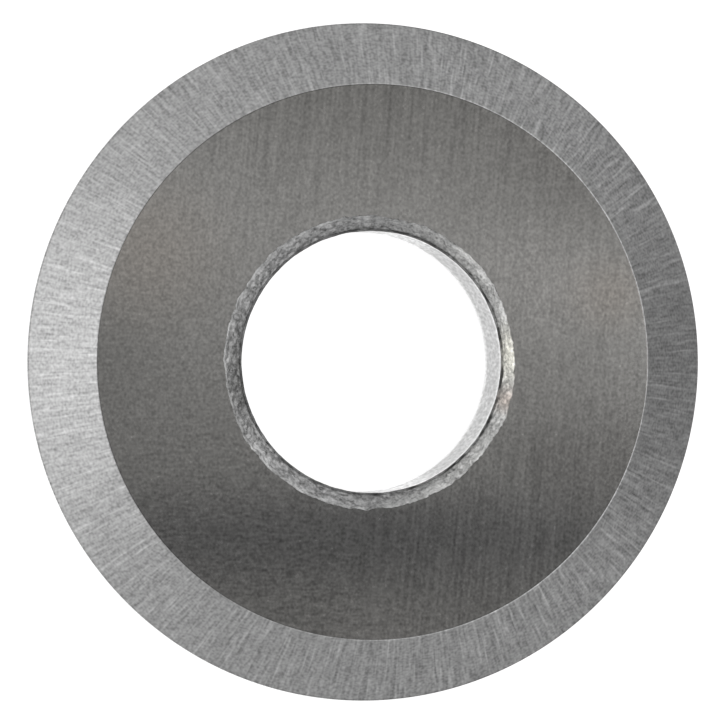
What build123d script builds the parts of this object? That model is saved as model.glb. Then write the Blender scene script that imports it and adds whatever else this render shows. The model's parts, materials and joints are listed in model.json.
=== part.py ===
from build123d import *
from math import radians, sin, tan
import os

# Scoring wheel of a hand tile cutter, pressed, sintered and ground from one blank of cemented
# carbide. It turns on a plain axle pin between the two cheeks of the cutter's fork, and its two
# sides are alike, so it fits either way round.
#
# Frame, in millimetres: the origin is the middle of the bore, in the plane of the cutting edge,
# and +Z runs along the bore. The wheel lies on its lower face, at Z = -thickness / 2.

# Over the cutting edge, and across the two ground faces
outer_diameter = 16.0
thickness = 3.0

# The axle pin, and how much wider the bore is so that the wheel turns freely on it
axle_diameter = 6.0
running_clearance = 0.15

# Angle between the two ground bevels, and the fine round that is left on the edge where they meet
edge_angle = 90.0
edge_round = 0.06

# The corner where each flat face turns into its bevel is very slightly dulled
face_corner_round = 0.04

# Each mouth of the bore is as the press punch formed it: a chamfer, at this angle to the face,
# that ends in a narrow flat step round the bore
chamfer_angle = 45.0
chamfer_width = 0.345
step_width = 0.05

half_thickness = thickness / 2
half_edge_angle = radians(edge_angle / 2)

# Radii from the bore outwards
bore_radius = (axle_diameter + running_clearance) / 2
step_radius = bore_radius + step_width
chamfer_radius = step_radius + chamfer_width

# The bevels are drawn to the sharp corner that they would meet in, which stands outside the
# stated diameter by what the round takes off
sharp_radius = outer_diameter / 2 + edge_round * (1 / sin(half_edge_angle) - 1)
face_radius = sharp_radius - half_thickness / tan(half_edge_angle)

# Height of the steps above and below the plane of the cutting edge. The bore's straight wall runs
# from one step to the other.
step_height = half_thickness - chamfer_width * tan(radians(chamfer_angle))

# The wheel is its section turned once round the bore. The section's upper half is drawn from the
# cutting edge inwards, and mirrored in the plane of the edge.
with BuildPart() as cutter_wheel:
    with BuildSketch(Plane.XZ) as section:
        with BuildLine() as outline:
            Polyline(
                (sharp_radius, 0),
                (face_radius, half_thickness),
                (chamfer_radius, half_thickness),
                (step_radius, step_height),
                (bore_radius, step_height),
                (bore_radius, 0),
            )
            mirror(about=Plane.XZ)
        make_face()
        face_corners = section.vertices().group_by(Axis.X)[-2]
        fillet(face_corners, radius=face_corner_round)
        edge_corner = section.vertices().group_by(Axis.X)[-1]
        fillet(edge_corner, radius=edge_round)
    revolve(axis=Axis.Z)

cutter_wheel.part.label = "cutter_wheel"

os.makedirs("parts", exist_ok=True)
export_step(cutter_wheel.part, "parts/cutter_wheel.step")

size = cutter_wheel.part.bounding_box().size
print(f"wheel {size.X:.3f} by {size.Y:.3f} by {size.Z:.3f} mm")
print(f"volume {cutter_wheel.part.volume:.1f} cubic mm, {len(cutter_wheel.faces())} faces")
print(f"bore radius {bore_radius:.3f}, bore wall {2 * step_height:.3f}, face radius {face_radius:.3f}")
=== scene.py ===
import json
import math

import bpy
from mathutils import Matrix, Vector, noise


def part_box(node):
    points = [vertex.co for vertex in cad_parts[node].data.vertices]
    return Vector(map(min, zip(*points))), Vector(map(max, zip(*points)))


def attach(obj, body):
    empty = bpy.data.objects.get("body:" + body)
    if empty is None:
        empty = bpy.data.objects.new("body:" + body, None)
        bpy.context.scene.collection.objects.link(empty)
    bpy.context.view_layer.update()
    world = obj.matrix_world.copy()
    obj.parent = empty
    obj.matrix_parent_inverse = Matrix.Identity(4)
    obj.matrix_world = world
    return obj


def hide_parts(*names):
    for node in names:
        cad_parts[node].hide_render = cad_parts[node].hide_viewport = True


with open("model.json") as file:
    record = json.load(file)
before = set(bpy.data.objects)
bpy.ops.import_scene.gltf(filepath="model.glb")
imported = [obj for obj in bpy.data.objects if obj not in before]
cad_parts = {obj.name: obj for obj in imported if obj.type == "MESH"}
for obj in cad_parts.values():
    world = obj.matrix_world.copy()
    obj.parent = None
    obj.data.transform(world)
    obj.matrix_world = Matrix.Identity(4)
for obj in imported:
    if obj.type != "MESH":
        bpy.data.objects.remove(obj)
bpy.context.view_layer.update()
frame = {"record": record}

# Cutter wheel: one blank of cemented tungsten carbide. It's pressed with its bore and with a
# chamfer at each mouth of the bore, sintered hard, and then ground on the two flat faces and the
# two bevels, so that only the bore and its mouths keep the skin of the furnace.
MM = 0.001
SAME_PLACE = 0.001 * MM
PARTS_AROUND = 1024

_, highest_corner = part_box("cutter_wheel")
bore_mount = next(mount for mount in frame["record"]["mounts"] if mount["name"] == "axle_bore")
edge_radius = max(highest_corner[0], highest_corner[1])
half_thickness = highest_corner[2]
bore_radius = bore_mount["dims"]["r_mm"] * MM
step_height = bore_mount["dims"]["length_mm"] * MM / 2

# Rounds of the cutting edge, of the corner between face and bevel, and of the mouth's outer corner
edge_round = 0.06 * MM
face_round = 0.05 * MM
mouth_round = 0.06 * MM

# The step beside the bore has a fine groove, where the press punch met the core pin
step_width = 0.05 * MM
groove_depth = 0.04 * MM

# Bevels and chamfers slope at 45 degrees. The bevels are drawn to the sharp corner that they would
# meet in, outside the edge's round.
step_radius = bore_radius + step_width
mouth_radius = step_radius + half_thickness - step_height
sharp_radius = edge_radius + edge_round * (math.sqrt(2) - 1)
face_radius = sharp_radius - half_thickness

# Close beside each rounded corner runs one more ring, which keeps the surfaces next to it flat
support = 0.03 * MM
slope_support = support * math.sqrt(0.5)
edge_support = edge_round * math.sqrt(0.5) + slope_support

# Upper half of the section, from the middle of the bore out to the cutting edge: the radius and
# height of each corner, and how many rings of the mesh lead up to it
upper_section = (
    (bore_radius, step_height, 9),
    (bore_radius + step_width / 2, step_height - groove_depth, 1),
    (step_radius, step_height, 1),
    (mouth_radius, half_thickness, 14),
    (mouth_radius + support, half_thickness, 1),
    (face_radius - support, half_thickness, 3),
    (face_radius, half_thickness, 1),
    (face_radius + slope_support, half_thickness - slope_support, 1),
    (sharp_radius - edge_support, edge_support, 6),
    (sharp_radius, 0, 1),
)


def select_rings(piece, radius, height):
    """In edit mode, select the rings of a piece's mesh at a radius, above and below its middle."""
    bpy.ops.object.mode_set(mode="OBJECT")
    bpy.context.tool_settings.mesh_select_mode = (False, True, False)
    mesh = piece.data
    mesh.polygons.foreach_set("select", [False] * len(mesh.polygons))
    on_ring = [
        abs(vertex.co.xy.length - radius) < SAME_PLACE
        and abs(abs(vertex.co.z) - height) < SAME_PLACE
        for vertex in mesh.vertices
    ]
    mesh.vertices.foreach_set("select", on_ring)
    for edge in mesh.edges:
        edge.select = on_ring[edge.vertices[0]] and on_ring[edge.vertices[1]]
    bpy.ops.object.mode_set(mode="EDIT")


# A circle at the middle of the bore is drawn up and outwards along the section, ring by ring, and
# the half wheel that this makes is mirrored
bpy.ops.object.select_all(action="DESELECT")
bpy.ops.mesh.primitive_circle_add(vertices=PARTS_AROUND, radius=bore_radius, location=(0, 0, 0))
wheel = bpy.context.object
wheel.name = "carbide_wheel"
bpy.ops.object.mode_set(mode="EDIT")
radius_so_far, height_so_far = bore_radius, 0
for radius, height, rings in upper_section:
    widening = (radius - radius_so_far) / rings
    rise = (height - height_so_far) / rings
    for _ in range(rings):
        growth = (radius_so_far + widening) / radius_so_far
        bpy.ops.mesh.extrude_edges_move(TRANSFORM_OT_translate={"value": (0, 0, rise)})
        bpy.ops.transform.resize(value=(growth, growth, 1), center_override=(0, 0, 0))
        radius_so_far += widening
        height_so_far += rise
bpy.ops.object.mode_set(mode="OBJECT")

lower_half = wheel.modifiers.new("lower_half", "MIRROR")
lower_half.use_axis = (False, False, True)
lower_half.merge_threshold = SAME_PLACE
bpy.ops.object.modifier_apply(modifier=lower_half.name)

# Each corner's radius and height, its round, by how many degrees the section turns there, and the
# rings that make the round
for radius, height, corner_round, turn, rings in (
    (sharp_radius, 0, edge_round, 90, 4),
    (face_radius, half_thickness, face_round, 45, 3),
    (mouth_radius, half_thickness, mouth_round, 45, 3),
):
    select_rings(wheel, radius, height)
    taken_off = corner_round * math.tan(math.radians(turn / 2))
    bpy.ops.mesh.bevel(offset_type="OFFSET", offset=taken_off, segments=rings, affect="EDGES")
bpy.ops.mesh.select_all(action="SELECT")
bpy.ops.mesh.remove_doubles(threshold=SAME_PLACE)
bpy.ops.mesh.normals_make_consistent(inside=False)
bpy.ops.object.mode_set(mode="OBJECT")

# Pressing and sintering leave nothing quite true. The mouth is lumpy where the powder was pressed
# between punch and pin, its outer corner wanders, a little inside the true circle and off its
# centre, and the wall of the bore undulates towards its mouths. Each wave has a depth and a length.
mouth_lumps = ((0.03 * MM, 0.12 * MM), (0.02 * MM, 0.055 * MM))
corner_wander = ((0.04 * MM, 0.8 * MM), (0.026 * MM, 0.22 * MM), (0.03 * MM, 0.08 * MM))
wall_waves = ((0.009 * MM, 0.30 * MM), (0.005 * MM, 0.09 * MM))
corner_inset = 0.055 * MM
corner_off_centre = Vector((-0.09 * MM, -0.01 * MM, 0))

# The waves are this many times longer round the bore than across, and the lumps fade out within
# this distance of the chamfer's two corners
drawn_round_bore = 1.4
lumps_fade = 0.06 * MM


def unevenness(outward, across, waves):
    """Add up smooth waves at a place: its direction from the bore's axis, and how far across."""
    round_bore = outward * bore_radius / drawn_round_bore
    return sum(
        depth * noise.noise((round_bore + Vector((0, 0, across))) / length)
        for depth, length in waves
    )


# The attribute is 0 at the wall of the bore, 1 at the mouth's outer corner and over 8 on the
# bevels. The wall's waves grow towards its mouths, the wander grows from the step up the chamfer,
# and the lumps stand square to the chamfer.
across_mouth = wheel.data.attributes.new("across_mouth", "FLOAT", "POINT")
past_mouth = mouth_radius + 1.5 * support
for vertex, vertex_across in zip(wheel.data.vertices, across_mouth.data):
    radius = vertex.co.xy.length
    height = abs(vertex.co.z)
    side = Vector((0, 0, math.copysign(1, vertex.co.z)))
    outward = Vector((vertex.co.x, vertex.co.y, 0)).normalized()
    vertex_across.value = (radius - bore_radius) / (mouth_radius - bore_radius)
    if radius < bore_radius + SAME_PLACE:
        near_mouth = (height / step_height) ** 4
        vertex.co += outward * near_mouth * unevenness(outward, vertex.co.z, wall_waves)
    elif radius < past_mouth:
        up_the_chamfer = max(0, min(1, (radius - step_radius) / (mouth_radius - step_radius)))
        wander = unevenness(outward, side.z, corner_wander) + corner_off_centre.dot(outward)
        below_corner = min(1, (half_thickness - height) / lumps_fade)
        above_step = max(0, min(1, (radius - step_radius) / lumps_fade))
        lumps = below_corner * above_step * unevenness(outward, side.z + radius, mouth_lumps)
        vertex.co += outward * up_the_chamfer * (wander - corner_inset)
        vertex.co += (side - outward) * math.sqrt(0.5) * lumps


def linear(colour):
    """Turn an sRGB colour such as "#84827f" into the linear one that a node takes."""
    channels = (int(colour[start:start + 2], 16) / 255 for start in (1, 3, 5))
    return (*(c / 12.92 if c <= 0.04045 else ((c + 0.055) / 1.055) ** 2.4 for c in channels), 1)


def add_node(tree, kind, inputs=(), **settings):
    """Add a node; inputs gives its sockets values, or the other sockets that feed them.

    Sockets that share a name go by number. A Mix has its factor at 0, two numbers at 2 and 3 or
    two colours at 6 and 7, and the mixed colour at output 2.
    """
    node = tree.nodes.new(kind)
    for name, value in settings.items():
        setattr(node, name, value)
    for socket, value in dict(inputs).items():
        if isinstance(value, bpy.types.NodeSocket):
            tree.links.new(value, node.inputs[socket])
        else:
            node.inputs[socket].default_value = value
    return node


def start_carbide(name, anisotropy=0):
    """Start a finish of the carbide: its material, its node tree, and two vectors for patterns.

    The vectors are the point itself, in millimetres, and the direction straight out from the bore.
    """
    material = bpy.data.materials.new(name)
    material.use_nodes = True
    tree = material.node_tree
    shader = tree.nodes["Principled BSDF"]
    shader.inputs["Metallic"].default_value = 1
    shader.inputs["Anisotropic"].default_value = anisotropy
    point = add_node(tree, "ShaderNodeTexCoord").outputs["Object"]
    in_mm = add_node(
        tree, "ShaderNodeVectorMath", {0: point, "Scale": 1 / MM}, operation="SCALE"
    )
    flat = add_node(
        tree, "ShaderNodeVectorMath", {0: in_mm.outputs[0], 1: (1, 1, 0)}, operation="MULTIPLY"
    )
    outward = add_node(tree, "ShaderNodeVectorMath", {0: flat.outputs[0]}, operation="NORMALIZE")
    return material, tree, in_mm.outputs[0], outward.outputs[0]


def add_up(tree, patterns):
    """Add patterns together, each times its share, so that the sum lies about 0."""
    total = 0
    for pattern, share in patterns:
        centred = add_node(tree, "ShaderNodeMath", {0: pattern, 1: 0.5}, operation="SUBTRACT")
        total = add_node(
            tree, "ShaderNodeMath", {0: centred.outputs[0], 1: share, 2: total},
            operation="MULTIPLY_ADD",
        ).outputs[0]
    return total


def vary(tree, middle, share, pattern):
    """Give a value that a pattern about 0, times its share, moves up and down from its middle."""
    return add_node(
        tree, "ShaderNodeMath", {0: pattern, 1: share, 2: middle}, operation="MULTIPLY_ADD"
    ).outputs[0]


def tint(tree, place, colour, patches_of_colour):
    """Mix soft patches into a colour, which are stains or painted light and shade, each with its
    middle and reach in mm, its colour and strength.
    """
    for middle, reach, patch_colour, strength in patches_of_colour:
        from_middle = add_node(
            tree, "ShaderNodeMapping",
            {"Vector": place, "Location": middle, "Scale": reach}, vector_type="TEXTURE",
        )
        distance = add_node(
            tree, "ShaderNodeVectorMath", {0: from_middle.outputs[0]}, operation="LENGTH"
        )
        amount = add_node(
            tree, "ShaderNodeMapRange",
            {"Value": distance.outputs["Value"], "To Min": strength, "To Max": 0},
            interpolation_type="SMOOTHSTEP",
        )
        colour = add_node(
            tree, "ShaderNodeMix", {0: amount.outputs[0], 6: colour, 7: linear(patch_colour)},
            data_type="RGBA",
        ).outputs[2]
    return colour


def finish_carbide(tree, colour, brightness, roughness, height, depth):
    """Feed the shader: a colour and its brightness, a roughness, and a height with its depth."""
    shader = tree.nodes["Principled BSDF"]
    brightened = add_node(
        tree, "ShaderNodeMix", {0: 1, 6: colour, 7: brightness}, data_type="RGBA",
        blend_type="MULTIPLY",
    )
    bump = add_node(tree, "ShaderNodeBump", {"Strength": 1, "Distance": depth, "Height": height})
    tree.links.new(brightened.outputs[2], shader.inputs["Base Color"])
    tree.links.new(roughness, shader.inputs["Roughness"])
    tree.links.new(bump.outputs[0], shader.inputs["Normal"])


# Ground bevels: a cup wheel ground them from the face out to the edge. Its grit left fine radial
# scratches, which spread each reflection round the wheel, over the sparkle of the carbide's grain.
# Grit and grain are too fine to show at their real size, so both are drawn about 0.07 mm wide.
ground_bevel, tree, place, outward = start_carbide("tungsten carbide, radially ground", 0.35)
middle_of_bevel = (face_radius + edge_radius) / 2 / MM
bevel_grain = 0.07

# Width and length of each layer of scratches in millimetres, and its share. A height times the
# square root of 2 is a length down the slope.
scratch_layers = ((0.066, 0.4, 0.9), (0.063, 1.3, 0.5), (0.15, 3.0, 0.2))
scratch_patterns = []
for width, length, share in scratch_layers:
    down_the_bevel = add_node(
        tree, "ShaderNodeVectorMath", {0: place, 1: (0, 0, math.sqrt(2) / length)},
        operation="MULTIPLY",
    )
    drawn_out = add_node(
        tree, "ShaderNodeVectorMath",
        {0: outward, 1: (middle_of_bevel / width,) * 3, 2: down_the_bevel.outputs[0]},
        operation="MULTIPLY_ADD",
    )
    scratch = add_node(
        tree, "ShaderNodeTexNoise",
        {"Vector": drawn_out.outputs[0], "Scale": 1, "Detail": 0, "Distortion": 0.4},
    )
    scratch_patterns.append((scratch.outputs[0], share))
grain = add_node(
    tree, "ShaderNodeTexNoise", {"Vector": place, "Scale": 1 / bevel_grain, "Detail": 0}
)
scratches = add_up(tree, scratch_patterns)
all_marks = add_up(tree, [*scratch_patterns, (grain.outputs[0], 1.1)])

# The strongest scratches of the middle layer catch the light
middle_layer, _ = scratch_patterns[1]
bright_scratches = add_node(
    tree, "ShaderNodeMapRange",
    {"Value": middle_layer, "From Min": 0.62, "From Max": 0.8, "To Max": 0.18},
)
brightness = add_node(
    tree, "ShaderNodeMath",
    {0: vary(tree, 1, 0.65, all_marks), 1: bright_scratches.outputs[0]}, operation="ADD",
)
finish_carbide(
    tree, linear("#a3a3a3"), brightness.outputs[0], vary(tree, 0.32, 0.1, scratches), scratches,
    0.001 * MM,
)
round_the_wheel = add_node(tree, "ShaderNodeTangent", direction_type="RADIAL", axis="Z")
tree.links.new(round_the_wheel.outputs[0], tree.nodes["Principled BSDF"].inputs["Tangent"])

# Ground faces, a dark satin: ground flat in straight passes, whose lines lean a little, and rubbed
# the other way on a flat lap, which left its strokes where the passes are faint. Both are fainter
# in a band level with the bore. Lines and grain are drawn as coarse as they need to show.
ground_face, tree, place, _ = start_carbide("tungsten carbide, surface ground", 0.3)

# Sizes of the marks along X and Y, size of the clouds in the polish, and place of the faint band's
# middle along Y, all in millimetres
pass_size = (0.065, 1.6, 1)
pass_lean = math.radians(-5)
stroke_size = (0.2, 0.06, 1)
grain_size = (0.058, 0.067, 1)
cloud_size = 0.9
faint_band_middle = 1

along_passes = add_node(
    tree, "ShaderNodeMapping",
    {"Vector": place, "Rotation": (0, 0, pass_lean), "Scale": pass_size}, vector_type="TEXTURE",
)
passes = add_node(
    tree, "ShaderNodeTexNoise", {"Vector": along_passes.outputs[0], "Scale": 1, "Detail": 0}
)
along_strokes = add_node(
    tree, "ShaderNodeMapping", {"Vector": place, "Scale": stroke_size}, vector_type="TEXTURE"
)
strokes = add_node(
    tree, "ShaderNodeTexNoise", {"Vector": along_strokes.outputs[0], "Scale": 1, "Detail": 0}
)

# Strokes show at the lower left and passes elsewhere
from_rubbed_side = add_node(
    tree, "ShaderNodeVectorMath", {0: place, 1: (0.8, 0.5, 0)}, operation="DOT_PRODUCT"
)
passes_show = add_node(
    tree, "ShaderNodeMapRange",
    {"Value": from_rubbed_side.outputs["Value"], "From Min": -4, "From Max": -0.5},
    interpolation_type="SMOOTHSTEP",
)
lines = add_node(
    tree, "ShaderNodeMix",
    {0: passes_show.outputs[0], 2: strokes.outputs[0], 3: passes.outputs[0]},
)
place_apart = add_node(tree, "ShaderNodeSeparateXYZ", {0: place})
above_faint_band = add_node(
    tree, "ShaderNodeMath", {0: place_apart.outputs["Y"], 1: faint_band_middle},
    operation="SUBTRACT",
)
from_faint_band = add_node(
    tree, "ShaderNodeMath", {0: above_faint_band.outputs[0]}, operation="ABSOLUTE"
)
lines_left = add_node(
    tree, "ShaderNodeMapRange",
    {"Value": from_faint_band.outputs[0], "From Min": 2.5, "From Max": 5.2, "To Min": 0.35,
     "To Max": 0.8},
)

long_grain = add_node(
    tree, "ShaderNodeMapping", {"Vector": place, "Scale": grain_size}, vector_type="TEXTURE"
)
grain = add_node(
    tree, "ShaderNodeTexNoise", {"Vector": long_grain.outputs[0], "Scale": 1, "Detail": 0}
)
cloud = add_node(
    tree, "ShaderNodeTexNoise", {"Vector": place, "Scale": 1 / cloud_size, "Detail": 2}
)
all_marks = add_up(
    tree,
    [(grain.outputs[0], 0.94), (lines.outputs[0], lines_left.outputs[0]),
     (cloud.outputs[0], 0.1)],
)

# Darker patches above, below and beside the bore are painted shade and the two lighter ones painted
# light, both standing for reflections in the face; the two faint warm ones are stains
face_painted_light_and_stains = (
    ((0, -4.1, 1.5), (16, 1.9, 1), "#5b5b5b", 0.78),
    ((1.5, 7.0, 1.5), (10, 4.6, 1), "#5c5b59", 0.75),
    ((5.6, 4.6, 1.5), (5, 3.4, 1), "#5c5b59", 0.7),
    ((6, -2.3, 1.5), (3, 2, 1), "#5c5b59", 0.4),
    ((-7, 0.3, 1.5), (3.5, 2.6, 1), "#5c5b59", 0.4),
    ((3.9, -2.3, 1.5), (1.2, 1.2, 1), "#5c5b59", 0.3),
    ((-5.4, 2.6, 1.5), (2.8, 2.6, 1), "#7f776f", 0.33),
    ((5.6, 1.6, 1.5), (1.6, 1.3, 1), "#7f776f", 0.35),
    ((4.0, 1.9, 1.5), (2.2, 2.0, 1), "#8b8987", 0.3),
    ((0.2, -6.4, 1.5), (2.8, 1.3, 1), "#918f8d", 0.45),
)
finish_carbide(
    tree, tint(tree, place, linear("#7a7977"), face_painted_light_and_stains), vary(tree, 1, 0.72, all_marks),
    vary(tree, 0.26, 0.03, all_marks), lines.outputs[0], 0.0003 * MM,
)
across_passes = add_node(
    tree, "ShaderNodeCombineXYZ", {"X": math.cos(pass_lean), "Y": math.sin(pass_lean)}
)
tree.links.new(across_passes.outputs[0], tree.nodes["Principled BSDF"].inputs["Tangent"])

# Mouths of the bore, as sintered: matt and mottled, with a painted highlight in patches towards the
# outer corner, and painted shade, nearly black, down in the groove, most of it to one side. The
# mottling of the pressed powder is drawn as coarse as it needs to show.
sintered_mouth, tree, place, outward = start_carbide("tungsten carbide, as sintered")
across = add_node(tree, "ShaderNodeAttribute", attribute_name="across_mouth").outputs["Fac"]

# The mouth's width, and the sizes of its streaks, of its grain and of the patches of painted
# highlight and painted shade, all in millimetres
mouth_width = 0.4
streak_size = 0.09
mouth_grain = 0.055
patch_size = 0.3

round_bore = add_node(
    tree, "ShaderNodeVectorMath", {0: outward, 1: (bore_radius / MM / drawn_round_bore,) * 3},
    operation="MULTIPLY",
)
across_bore = add_node(tree, "ShaderNodeCombineXYZ", {"Z": across})
drawn_out = add_node(
    tree, "ShaderNodeVectorMath",
    {0: across_bore.outputs[0], 1: (mouth_width,) * 3, 2: round_bore.outputs[0]},
    operation="MULTIPLY_ADD",
)
streaks = add_node(
    tree, "ShaderNodeTexNoise",
    {"Vector": drawn_out.outputs[0], "Scale": 1 / streak_size, "Detail": 1},
)
grain = add_node(
    tree, "ShaderNodeTexNoise", {"Vector": place, "Scale": 1 / mouth_grain, "Detail": 1}
)
all_marks = add_up(tree, [(streaks.outputs[0], 1.0), (grain.outputs[0], 1.0)])
patches = add_node(
    tree, "ShaderNodeTexNoise",
    {"Vector": round_bore.outputs[0], "Scale": 1 / patch_size, "Detail": 1},
)
# Patches towards the mouth's outer corner are painted brighter: a painted highlight
corner_highlight_here = add_node(
    tree, "ShaderNodeMapRange",
    {"Value": patches.outputs[0], "From Min": 0.45, "From Max": 0.65, "To Max": 0.5},
)
painted_corner_highlight = add_node(
    tree, "ShaderNodeMapRange",
    {"Value": across, "From Min": 0.5, "From Max": 0.9, "To Max": corner_highlight_here.outputs[0]},
    interpolation_type="SMOOTHSTEP",
)
brightness = add_node(
    tree, "ShaderNodeMath", {0: vary(tree, 1, 1.4, all_marks), 1: painted_corner_highlight.outputs[0]},
    operation="ADD",
)

# Painted shade, nearly black, lies on the step, in its groove, which ends this share of the way
# across the mouth
groove_shade_ends = 0.15
in_groove = add_node(tree, "ShaderNodeMath", {0: across, 1: groove_shade_ends}, operation="LESS_THAN")
groove_shade_here = add_node(
    tree, "ShaderNodeMapRange",
    {"Value": patches.outputs[0], "From Min": 0.4, "From Max": 0.6, "To Min": 0.85, "To Max": 0.3},
)
outward_apart = add_node(tree, "ShaderNodeSeparateXYZ", {0: outward})
to_shaded_side = add_node(
    tree, "ShaderNodeMapRange",
    {"Value": outward_apart.outputs["X"], "From Min": -0.1, "From Max": 0.4, "To Min": 0.62},
)
groove_shade = add_node(
    tree, "ShaderNodeMath", {0: groove_shade_here.outputs[0], 1: to_shaded_side.outputs[0]},
    operation="MULTIPLY",
)
painted_groove_shade = add_node(
    tree, "ShaderNodeMath", {0: in_groove.outputs[0], 1: groove_shade.outputs[0]}, operation="MULTIPLY"
)

# Paler towards the right, painted light, with a yellowish spot there, a painted highlight, and a
# reddish spot; darker at the far left, painted shade
mouth_painted_light_and_stain = (
    ((2.6, 0, 1.3), (3.2, 8.5, 1), "#d0d0ce", 0.66),
    ((-3.15, -0.4, 1.3), (0.55, 2.0, 1), "#6a6a69", 0.6),
    ((3.3, 0.2, 1.3), (0.6, 1.1, 1), "#eeece0", 0.75),
    ((3.2, -0.9, 1.3), (0.5, 0.5, 1), "#b5a59a", 0.6),
)
colour = add_node(
    tree, "ShaderNodeMix",
    {0: painted_groove_shade.outputs[0], 6: tint(tree, place, linear("#8f8f8f"), mouth_painted_light_and_stain),
     7: linear("#222222")},
    data_type="RGBA",
)
finish_carbide(
    tree, colour.outputs[2], brightness.outputs[0], vary(tree, 0.42, 0.2, all_marks),
    grain.outputs[0], 0.005 * MM,
)

# Wall of the bore, as sintered: smoother, because the core pin pressed it, faintly streaked along
# the bore, where the blank slid off the pin, and painted brighter at both rims and in two places
# round it, painted highlights.
bore_wall, tree, place, _ = start_carbide("tungsten carbide, sintered bore")

# Size of the streaks, and how far below the rim its painted highlight starts and is full, in
# millimetres
wall_streak_size = (0.085, 0.085, 0.35)
rim_highlight_starts, rim_highlight_is_full = 0.35, 0.05

along_bore = add_node(
    tree, "ShaderNodeMapping", {"Vector": place, "Scale": wall_streak_size},
    vector_type="TEXTURE",
)
streaks = add_node(
    tree, "ShaderNodeTexNoise", {"Vector": along_bore.outputs[0], "Scale": 1, "Detail": 1}
)
all_marks = add_up(tree, [(streaks.outputs[0], 1.0)])
place_apart = add_node(tree, "ShaderNodeSeparateXYZ", {0: place})
from_middle = add_node(
    tree, "ShaderNodeMath", {0: place_apart.outputs["Z"]}, operation="ABSOLUTE"
)
# Brighter towards both rims: a painted highlight
painted_rim_highlight = add_node(
    tree, "ShaderNodeMapRange",
    {"Value": from_middle.outputs[0], "From Min": step_height / MM - rim_highlight_starts,
     "From Max": step_height / MM - rim_highlight_is_full, "To Max": 0.8},
)
brightness = add_node(
    tree, "ShaderNodeMath", {0: vary(tree, 1, 1.8, all_marks), 1: painted_rim_highlight.outputs[0]},
    operation="ADD",
)
# Two white patches round the wall, painted highlights
painted_wall_highlights = (
    ((0.9, 3.1, 0), (1.5, 0.8, 3), "#ffffff", 0.6),
    ((0.9, -3.1, 0), (1.5, 0.8, 3), "#ffffff", 0.6),
)
finish_carbide(
    tree, tint(tree, place, linear("#b7b7b7"), painted_wall_highlights), brightness.outputs[0],
    vary(tree, 0.38, 0.2, all_marks), streaks.outputs[0], 0.003 * MM,
)

# The faces lie at the wheel's full height, and the attribute tells the other surfaces apart
finishes = [ground_bevel, ground_face, sintered_mouth, bore_wall]
for finish in finishes:
    wheel.data.materials.append(finish)
for polygon in wheel.data.polygons:
    corners = [wheel.data.vertices[corner].co for corner in polygon.vertices]
    mean_height = sum(abs(corner.z) for corner in corners) / len(corners)
    mean_across = sum(
        across_mouth.data[corner].value for corner in polygon.vertices
    ) / len(corners)
    if mean_height > half_thickness - SAME_PLACE:
        finish = ground_face
    elif mean_across > 2:
        finish = ground_bevel
    elif mean_across > 0.01:
        finish = sintered_mouth
    else:
        finish = bore_wall
    polygon.material_index = finishes.index(finish)
bpy.ops.object.shade_smooth()

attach(wheel, "root")
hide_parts("cutter_wheel")

# Floor: an opal sheet, on which the wheel lies. A glow is painted into its emission, white round a
# middle a little to the left under the wheel, so that the bore is lit from behind, and fading
# beyond; only reflections see it.
glow_middle = (-4 * MM, 0, 0)
glow_full, glow_end = 8 * MM, 13 * MM
bpy.ops.object.select_all(action="DESELECT")
bpy.ops.mesh.primitive_plane_add(size=20, location=(0, 0, -half_thickness))
floor = bpy.context.object
floor.name = "floor"
opal_sheet = bpy.data.materials.new("opal acrylic sheet, painted glow")
opal_sheet.use_nodes = True
tree = opal_sheet.node_tree
shader = tree.nodes["Principled BSDF"]
shader.inputs["Base Color"].default_value = linear("#9f9f9f")
shader.inputs["Roughness"].default_value = 0.9
shader.inputs["Specular IOR Level"].default_value = 0
shader.inputs["Emission Color"].default_value = (1, 1, 1, 1)
on_floor = add_node(tree, "ShaderNodeTexCoord").outputs["Object"]
from_glow_middle = add_node(
    tree, "ShaderNodeVectorMath", {0: on_floor, 1: glow_middle}, operation="DISTANCE"
)
glow = add_node(
    tree, "ShaderNodeMapRange",
    {"Value": from_glow_middle.outputs["Value"], "From Min": glow_full, "From Max": glow_end,
     "To Min": 1.0, "To Max": 0.05},
    interpolation_type="SMOOTHSTEP",
)
light_path = add_node(tree, "ShaderNodeLightPath")
in_metal_or_glass = add_node(
    tree, "ShaderNodeMath",
    {0: light_path.outputs["Is Glossy Ray"], 1: light_path.outputs["Is Transmission Ray"]},
    operation="MAXIMUM",
)
mirrored = add_node(
    tree, "ShaderNodeMath", {0: in_metal_or_glass.outputs[0], 1: glow.outputs[0]},
    operation="MULTIPLY",
)
seen = add_node(
    tree, "ShaderNodeMath",
    {0: light_path.outputs["Is Camera Ray"], 1: 0.9, 2: mirrored.outputs[0]},
    operation="MULTIPLY_ADD",
)
tree.links.new(seen.outputs[0], shader.inputs["Emission Strength"])
floor.data.materials.append(opal_sheet)

# Studio: a room with pale walls under a darker ceiling, bright at its windows to the left and
# right, and dark at a doorway straight to the right. Each ramp gives the level at directions from
# -1 to 1 along its axis, where a level of 1 looks white.
room_levels = (
    ("X", ((-1, 2.2), (-0.94, 1.8), (-0.82, 1.4), (-0.6, 1.13), (-0.2, 1.1), (0.15, 1.3),
           (0.4, 1.5), (0.6, 1.85), (0.78, 2.1), (0.9, 1.9), (0.97, 0.55), (1, 0.2))),
    ("Y", ((-1, 0.83), (-0.45, 0.93), (0, 0.95), (0.5, 1))),
    ("Z", ((-1, 0.6), (0, 1.0), (0.12, 1.1), (0.35, 0.8), (0.75, 0.75), (0.93, 0.3))),
)
world = bpy.data.worlds.new("studio")
bpy.context.scene.world = world
world.use_nodes = True
tree = world.node_tree
direction = add_node(
    tree, "ShaderNodeSeparateXYZ", {0: add_node(tree, "ShaderNodeTexCoord").outputs["Generated"]}
)
room = (1, 1, 1, 1)
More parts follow.
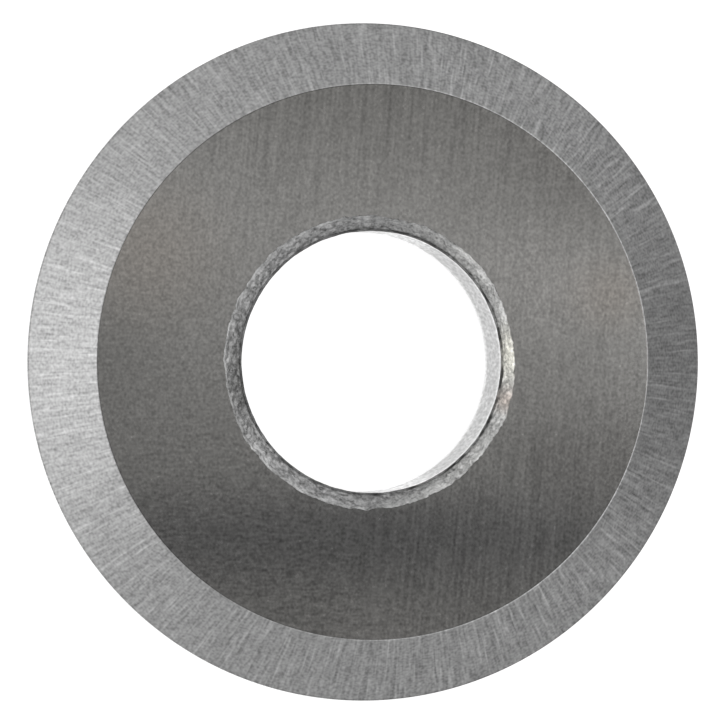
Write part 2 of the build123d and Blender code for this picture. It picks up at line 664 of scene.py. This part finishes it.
for axis, stops in room_levels:
    along = add_node(
        tree, "ShaderNodeMapRange", {"Value": direction.outputs[axis], "From Min": -1}
    )
    ramp = add_node(tree, "ShaderNodeValToRGB", {"Fac": along.outputs[0]})
    # A new ramp has two stops. One of them stays, and the others are added after it.
    elements = ramp.color_ramp.elements
    elements.remove(elements[1])
    for _ in stops[1:]:
        elements.new(1)
    for element, (position, grey) in zip(elements, stops):
        element.position = (position + 1) / 2
        element.color = (grey, grey, grey, 1)
    room = add_node(
        tree, "ShaderNodeMix", {0: 1, 6: room, 7: ramp.outputs["Color"]}, data_type="RGBA",
        blend_type="MULTIPLY",
    ).outputs[2]
tree.links.new(room, tree.nodes["Background"].inputs["Color"])

# Lamps: two small soft boxes close over the wheel. Each has its place and its width and height in
# millimetres, and its level.
soft_boxes = (
    ("soft_box_over_wheel", (0, 5, 60), (30, 10), 1.2),
    ("soft_box_to_right", (25, 5, 60), (14, 10), 3.9),
)
for name, lamp_place, lamp_size, level in soft_boxes:
    lamp_width, lamp_height = (side * MM for side in lamp_size)
    lamp_data = bpy.data.lights.new(name, "AREA")
    lamp_data.shape = "RECTANGLE"
    lamp_data.size = lamp_width
    lamp_data.size_y = lamp_height
    lamp_data.energy = level * math.pi * lamp_width * lamp_height
    lamp = bpy.data.objects.new(name, lamp_data)
    bpy.context.scene.collection.objects.link(lamp)
    lamp.location = Vector(lamp_place) * MM
    lamp.rotation_euler = lamp.location.to_track_quat("Z", "Y").to_euler()
    lamp.visible_camera = False

# Camera, as the photograph was taken: over the wheel, tilted a little to one side and aimed a hair
# off its middle. Its distance is a guess. The photograph's side and the wheel's diameter in it are
# in pixels, and the diameter is the one that suits the edge, the face and the bore together.
PHOTO_SIDE = 725
WHEEL_DIAMETER = 677.6
camera_distance = 0.2
camera_tilt = math.radians(8.2)
aim = Vector((-0.048 * MM, -0.0135 * MM, 0))
camera_data = bpy.data.cameras.new("camera")
camera = bpy.data.objects.new("camera", camera_data)
bpy.context.scene.collection.objects.link(camera)
bpy.context.scene.camera = camera
camera.location = aim + camera_distance * Vector((-math.sin(camera_tilt), 0, math.cos(camera_tilt)))
camera.rotation_euler = (0, -camera_tilt, 0)
camera_data.clip_start = 0.01
view_width = 2 * edge_radius * PHOTO_SIDE / WHEEL_DIAMETER
camera_data.lens = camera_data.sensor_width * camera_distance / view_width

bpy.context.scene.view_settings.view_transform = "Standard"
